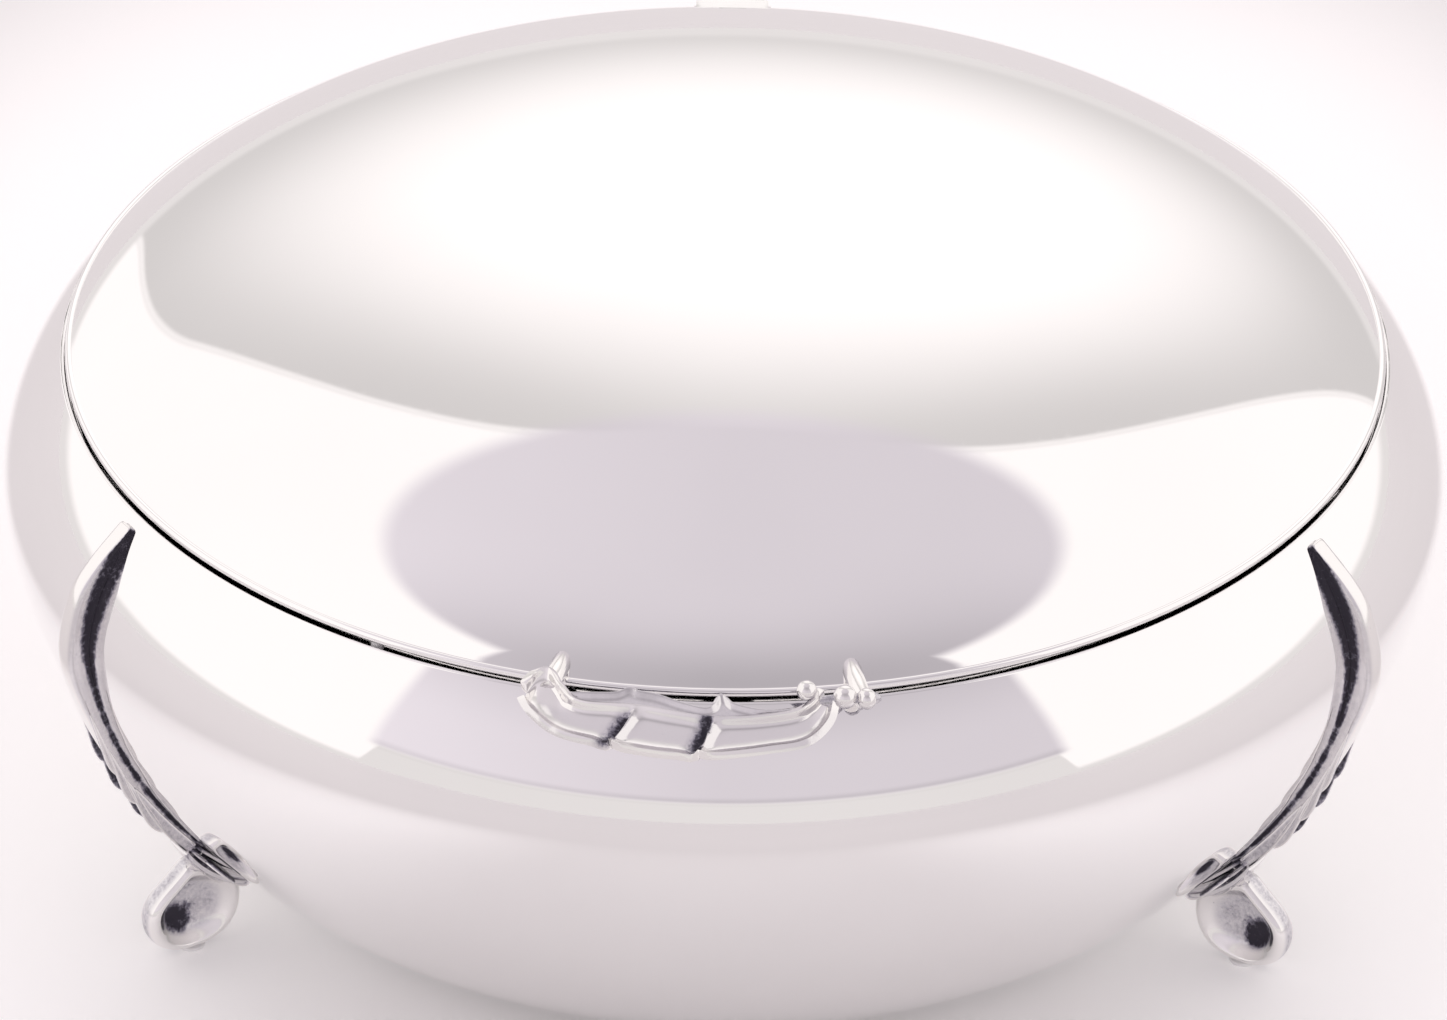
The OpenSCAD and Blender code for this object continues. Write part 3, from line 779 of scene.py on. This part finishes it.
def makeLegs():
    parts = [makeBar(), makeCuff(), makeFoot()] + makePlates()
    parts += [makeScallop(side) for side in (-1, 1)] + [makeCurl(side) for side in (-1, 1)]
    casting = joinUp(parts)
    pickOnly(casting)
    casting.scale = (mm, mm, mm)
    bpy.ops.object.transform_apply(location=False, rotation=False, scale=True)
    soften(casting, 50)
    angles = {"left": -90 - leg["frontAngle"], "right": -90 + leg["frontAngle"], "rear": 90}
    for side, angle in angles.items():
        twin = copyPiece(casting)
        pickOnly(twin)
        if side == "rear":
            # the rear leg stops under the hinge
            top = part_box("leg_rear")[1].z
            bpy.ops.object.mode_set(mode="EDIT")
            bpy.ops.mesh.select_all(action="SELECT")
            bpy.ops.mesh.bisect(plane_co=(0, 0, top), plane_no=(0, 0, 1), clear_outer=True, use_fill=True)
            bpy.ops.object.mode_set(mode="OBJECT")
        twin.rotation_euler = (0, 0, math.radians(angle))
        settle(twin, "leg" + side.capitalize(), "bowl", silver, ["leg_" + side])
    bpy.data.objects.remove(casting)


makeLegs()
print("stage: legs")


# handle: a leaf drawn flat in millimetres, u along it and v outwards, then laid round the lid's edge
handle = {"innerRadius": 235.5, "innerRise": 8.8, "slope": 18.8, "aside": -1.0, "around": 250.0}

topLine = [(-60.5, 6.0), (-58.5, 0.6), (-55.0, -1.6), (-51.0, 2.4), (-46.0, 7.4), (-40.0, 9.4), (-30.0, 9.0),
           (-21.0, 8.8), (-10.0, 10.4), (2.0, 12.2), (12.0, 12.2), (21.0, 11.6), (30.0, 10.2), (36.0, 7.4),
           (40.5, 3.2)]
lowLine = [(-60.5, 9.5), (-58.0, 13.5), (-55.0, 16.6), (-51.0, 19.0), (-46.0, 21.2), (-41.0, 22.4),
           (-34.0, 23.6), (-27.0, 24.6), (-14.0, 26.2), (-1.0, 26.6), (10.0, 25.4), (21.0, 23.6),
           (32.0, 21.6), (40.0, 15.0), (43.0, 7.0)]
backTop = [(-49.0, 6.6), (-44.0, 4.8), (-38.0, 4.0), (-30.0, 2.8), (-26.0, 0.4), (-22.5, 1.6), (-16.0, 2.6),
           (-8.0, 5.4), (0.0, 7.4), (3.5, 5.6), (5.4, 1.4), (9.0, 4.8), (16.0, 7.4), (24.0, 8.6), (31.0, 8.2)]
backLow = [(-48.0, 9.0), (-42.0, 10.6), (-36.0, 11.0), (-30.0, 11.0), (-26.0, 10.8), (-22.0, 10.8),
           (-16.0, 11.4), (-8.0, 12.6), (0.0, 13.8), (4.0, 14.0), (8.0, 14.0), (12.0, 14.0), (17.0, 13.6),
           (24.0, 13.0), (32.0, 11.6)]


def layOnEdge(place):
    # from the flat drawing to the lid's edge, in metres
    slope = math.radians(handle["slope"])
    r = handle["innerRadius"] + place.y * math.cos(slope) + place.z * math.sin(slope)
    z = rimHeight / mm + handle["innerRise"] - place.y * math.sin(slope) + place.z * math.cos(slope)
    angle = place.x / handle["around"] + math.radians(handle["aside"])
    return Vector((r * math.sin(angle), -r * math.cos(angle), z)) * mm


def leafGrid(top, low, columns, rows, rule):
    # a subdivided sheet stretched between two edges; rule gives the height at (u, share)
    deselectAll()
    bpy.ops.mesh.primitive_grid_add(x_subdivisions=columns, y_subdivisions=rows, size=1)
    sheet = bpy.context.object
    topCurve = smoothLine(top, 8)
    lowCurve = smoothLine(low, 8)

    def at(line, share):
        spot = share * (len(line) - 1)
        i = min(int(spot), len(line) - 2)
        return Vector(line[i]).lerp(Vector(line[i + 1]), spot - i)

    def lay(place):
        share = place.y + 0.5
        edge = at(topCurve, place.x + 0.5).lerp(at(lowCurve, place.x + 0.5), share)
        return Vector((edge.x, edge.y, rule(edge.x, edge.y, share)))
    reshape(sheet, lay)
    return sheet


veins = [(-23.4, 10.4, -27.9, 20.6), (3.2, 13.2, -1.3, 24.6)]       # from (u, v) to (u, v)

def veinAt(u, v):
    # how far to the right of the nearest vein
    best = 99
    for u0, v0, u1, v1 in veins:
        line = u0 + (u1 - u0) * (v - v0) / (v1 - v0)
        if abs(u - line) < abs(best):
            best = u - line
    return best


def leafHeight(u, v, share):
    roll = 2.4 * math.exp(-(share / 0.12) ** 2)
    lip = 1.2 * math.exp(-((1 - share) / 0.12) ** 2)
    away = veinAt(u, v)
    vein = 1.9 * math.exp(-(max(away, 0) / 2.4) ** 2) if away > 0 else 1.9 * math.exp(-(away / 0.5) ** 2)
    sag = -1.3 * math.sin(math.pi * share) ** 0.7
    rise = 1.5 * ease(abs(u + 56), 8, 0) + 1.2 * ease(u, 34, 42)
    hollow = -0.9 * ease(away, -7, -1) if away < 0 else 0
    return sag + roll + lip + vein * ease(share, 0.02, 0.2) + rise + hollow * ease(share, 0.1, 0.4)


def makeHandle():
    leaf = leafGrid(topLine, lowLine, 150, 26, leafHeight)
    back = leafGrid(backTop, backLow, 90, 10,
                    lambda u, v, share: -0.6 + 1.5 * math.exp(-(share / 0.2) ** 2) - 0.8 * share)
    for sheet, thick in ((leaf, 2.6), (back, 1.8)):
        pickOnly(sheet)
        bpy.ops.object.mode_set(mode="EDIT")
        finishMesh()
        if sum(face.normal.z for face in sheet.data.polygons) < 0:
            sheet.data.flip_normals()
        addModifier(sheet, "SOLIDIFY", thickness=thick, offset=-1)
        addModifier(sheet, "BEVEL", width=0.5, segments=3, limit_method="ANGLE", angle_limit=math.radians(60))

    def leafShadeAndTarnish(place, normal):
        # painted shade in the hollow beside each vein and on the undersides; the leaf's middle band is a
        # little darker
        away = veinAt(place.x, place.y)
        shade = ease(away, -6.5, -1.2) * (1 - ease(away, -0.6, 0.2)) if away < 0 else 0
        body = ease(place.y, 9, 13) * (1 - ease(place.y, 23, 26))
        under = 0.5 * ease(-normal.z, 0.2, 0.8)
        return shade * body * 0.85 + body * 0.1 + under
    paint(leaf, leafShadeAndTarnish)
    # painted shade: the back leaf is darker towards its lower edge and on its undersides
    paint(back, lambda place, normal: 0.16 + 0.3 * ease(place.y, 8, 13) + 0.4 * ease(-normal.z, 0.2, 0.8))
    extras = []
    beads = ((34.7, 2.4, 2.6, 3.5, 1.0), (47.6, 5.0, 1.2, 4.1, 1.0), (54.8, 6.2, 0.8, 3.7, 0.9))
    for u, v, h, size, squash in beads:
        deselectAll()
        bpy.ops.mesh.primitive_ico_sphere_add(subdivisions=3, radius=size, location=(u, v, h))
        ball = bpy.context.object
        ball.scale = (squash, 1, 0.92)
        bpy.ops.object.transform_apply(location=True, rotation=True, scale=True)
        # painted shade: the beads darken towards their undersides
        paint(ball, lambda place, normal: 0.04 + 0.5 * ease(-normal.z, -0.2, 0.6))
        extras.append(ball)
    # the stem runs through the beads and ends in a small bud
    stem = sweep([(math.cos(math.radians(a)), math.sin(math.radians(a))) for a in range(0, 360, 30)],
                 smoothLine([(-4, -1.2, 3.4, 3.4), (2, -1.0, 4.4, 4.0), (8, -0.4, 2.8, 2.8),
                             (12, -0.2, 4.6, 4.4), (15, -0.3, 4.2, 4.2), (17.2, -0.5, 2.0, 2.2)], 3))
    reshape(stem, lambda place: Vector((42.5 + place.x, 5.0 - place.y + (place.x * 0.06), 0.8 + place.z)))
    pickOnly(stem)
    bpy.ops.object.mode_set(mode="EDIT")
    finishMesh()
    paint(stem, lambda place, normal: 0.35)
    extras.append(stem)
    casting = joinUp([leaf, back] + extras)
    reshape(casting, layOnEdge)
    pickOnly(casting)
    bpy.ops.object.mode_set(mode="EDIT")
    finishMesh()
    soften(casting, 60)
    return settle(casting, "leafHandle", "lid", silver, ["lid_handle"])


makeHandle()
print("stage: handle")


def ownCopy(node):
    # a loose copy of a drawn part, its seams merged
    source = frame["nodes"][node]
    deselectAll()
    piece = bpy.data.objects.new(node, source.data.copy())
    bpy.context.scene.collection.objects.link(piece)
    piece.matrix_world = source.matrix_world.copy()
    pickOnly(piece)
    bpy.ops.object.transform_apply(location=True, rotation=True, scale=True)
    bpy.ops.object.mode_set(mode="EDIT")
    bpy.ops.mesh.select_all(action="SELECT")
    bpy.ops.mesh.remove_doubles(threshold=1e-6)
    bpy.ops.object.mode_set(mode="OBJECT")
    return piece


def refine(node, name, width, body, look, segments=3):
    # the drawn part with its edges rounded
    piece = ownCopy(node)
    addModifier(piece, "BEVEL", width=width * mm, segments=segments, limit_method="ANGLE",
                angle_limit=math.radians(32), use_clamp_overlap=True)
    soften(piece, 38)
    return settle(piece, name, body, look, [node])


screw = {"socket": 1.3, "socketDepth": 1.0, "crown": 0.55, "shank": 2.0, "steps": 24}

def oneScrew(headRadius, headHeight, length):
    # a domed head with a six-sided socket, standing on Z with its seat at nought
    side = headHeight - screw["crown"]
    crown = [(screw["socket"] + (headRadius - screw["socket"]) * math.sin(math.radians(a)),
              side + screw["crown"] * math.cos(math.radians(a))) for a in range(0, 91, 15)]
    floor = headHeight - screw["socketDepth"]
    line = [(0, floor), (screw["socket"] * 0.96, floor)]
    line += crown + [(headRadius, 0.15), (headRadius - 0.15, 0), (screw["shank"], 0),
                     (screw["shank"], 0.5 - length), (screw["shank"] - 0.5, -length), (0, -length)]
    piece = lathe([(r * mm, z * mm) for r, z in line], screw["steps"], closed=False)

    def sixSided(place):
        radius = math.hypot(place.x, place.y) / mm
        if radius > screw["socket"] + 0.02 or radius < 0.1 or place.z < 0:
            return place
        part = math.atan2(place.y, place.x) % math.radians(60) - math.radians(30)
        grow = math.cos(math.radians(30)) / math.cos(part) * 1.07
        return Vector((place.x * grow, place.y * grow, place.z))
    reshape(piece, sixSided)
    soften(piece, 35)
    return piece


def makeScrews(node, name, body):
    # one screw copied to every place where the drawing has a head
    source = ownCopy(node)
    pickOnly(source)
    bpy.ops.object.mode_set(mode="EDIT")
    bpy.ops.mesh.select_all(action="SELECT")
    bpy.ops.mesh.dissolve_limited(angle_limit=math.radians(1))
    bpy.ops.object.mode_set(mode="OBJECT")
    largest = max(face.area for face in source.data.polygons)
    made = []
    for face in source.data.polygons:
        if face.area < largest * 0.93:
            continue
        radius = math.sqrt(face.area / math.pi)
        near = []
        for vertex in source.data.vertices:
            offset = face.center - vertex.co
            down = offset.dot(face.normal)
            if (offset - face.normal * down).length < radius * 1.1 and down < 40 * mm:
                near.append((down, (offset - face.normal * down).length))
        length = max(down for down, out in near)
        head = max(down for down, out in near if out > radius * 0.9)
        piece = oneScrew(radius / mm, head / mm, (length - head) / mm)
        piece.rotation_euler = face.normal.to_track_quat("Z", "Y").to_euler()
        piece.location = face.center - face.normal * head
        pickOnly(piece)
        bpy.ops.object.transform_apply(location=True, rotation=True, scale=True)
        made.append(piece)
    bpy.data.objects.remove(source)
    print("screws:", node, len(made))
    return settle(joinUp(made), name, body, screwSteel, [node])


makeScrews("base_screws", "baseScrews", "bowl")
makeScrews("bracket_screws", "bracketScrews", "bowl")
makeScrews("leaf_screws", "leafScrews", "lid")
makeScrews("handle_screws", "handleScrews", "lid")
refine("leg_screws", "legScrews", 0.3, "bowl", screwSteel, 2)
refine("leg_nuts", "legNuts", 0.25, "bowl", screwSteel, 2)
refine("handle_posts", "handlePosts", 0.3, "lid", silver, 2)
refine("hinge_bracket", "hingeBracket", 0.5, "bowl", hingeSteel)
refine("hinge_leaf", "hingeLeaf", 0.5, "lid", hingeSteel)
refine("hinge_pin", "hingePin", 0.3, "bowl", screwSteel)
print("stage: hinge and screws")


pads = {"padDome": 0.5, "bumperRound": 1.0, "bumperRadius": 2.2, "bumperInset": 4.6,
        "bumperAngles": (90, 210, 330)}

def makePad(node, name, softness):
    # a turned rubber button for each of the drawn ones
    low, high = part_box(node)
    centre = (low + high) / 2
    radius = (high.x - low.x) / 2
    height = high.z - low.z
    soft = softness * mm
    line = [(0, low.z)]
    line += arc((radius - soft, low.z + soft), soft, -90, 0, 6)
    line += [(radius, high.z - 0.2 * mm), (radius - 0.2 * mm, high.z), (0, high.z)]
    pad = lathe(line, 48, closed=False)
    pad.location = (centre.x, centre.y, 0)
    soften(pad, 50)
    return settle(pad, name, "bowl", silicone, [node])


for side in ("left", "right", "rear"):
    makePad("foot_pad_" + side, "footPad" + side.capitalize(), pads["padDome"])


def makeBumpers():
    low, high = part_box("rim_bumpers")
    radius = pads["bumperRadius"] * mm
    ring = rimRadius - pads["bumperInset"] * mm
    soft = pads["bumperRound"] * mm
    line = [(0, low.z), (radius, low.z)] + arc((radius - soft, high.z - soft), soft, 0, 90, 6) + [(0, high.z)]
    made = []
    for angle in pads["bumperAngles"]:
        bumper = lathe(line, 32, closed=False)
        bumper.location = (ring * math.sin(math.radians(angle)), -ring * math.cos(math.radians(angle)), 0)
        pickOnly(bumper)
        bpy.ops.object.transform_apply(location=True, rotation=True, scale=True)
        made.append(bumper)
    bumpers = joinUp(made)
    soften(bumpers, 50)
    settle(bumpers, "rimBumpers", "bowl", silicone, ["rim_bumpers"])


makeBumpers()
print("stage: pads and bumpers")


burner = {"cupSheet": 1.0, "holderSheet": 1.5, "roll": 1.1}

def makeTin(node, name, sheet, look):
    # a turned tin with a rounded foot and its top edge rolled inwards
    low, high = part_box(node)
    wall = sheet * mm
    roll = burner["roll"] * mm
    line = [(0, low.z), (high.x - 1.6 * mm, low.z), (high.x - 0.5 * mm, low.z + 0.4 * mm),
            (high.x, low.z + 1.6 * mm)]
    line += arc((high.x - roll, high.z - roll), roll, 0, 250, 12)
    line += [(high.x - wall, high.z - 2.6 * roll), (high.x - wall, low.z + 2.2 * mm),
             (high.x - wall - 1.2 * mm, low.z + wall), (0, low.z + wall)]
    tin = lathe(line, 96, closed=False)
    soften(tin, 40)
    return settle(tin, name, "bowl", look, [node])


makeTin("fuel_cup", "fuelCup", burner["cupSheet"], brass)
makeTin("fuel_holder", "fuelHolder", burner["holderSheet"], panSteel)
refine("damper_disc", "damperDisc", 0.4, "damper", panSteel)
refine("damper_post", "damperPost", 0.4, "bowl", screwSteel)
refine("damper_cap", "damperCap", 0.4, "damper", screwSteel)
refine("base_plate", "basePlate", 0.4, "bowl", panSteel, 2)
print("stage: burner and base plate")
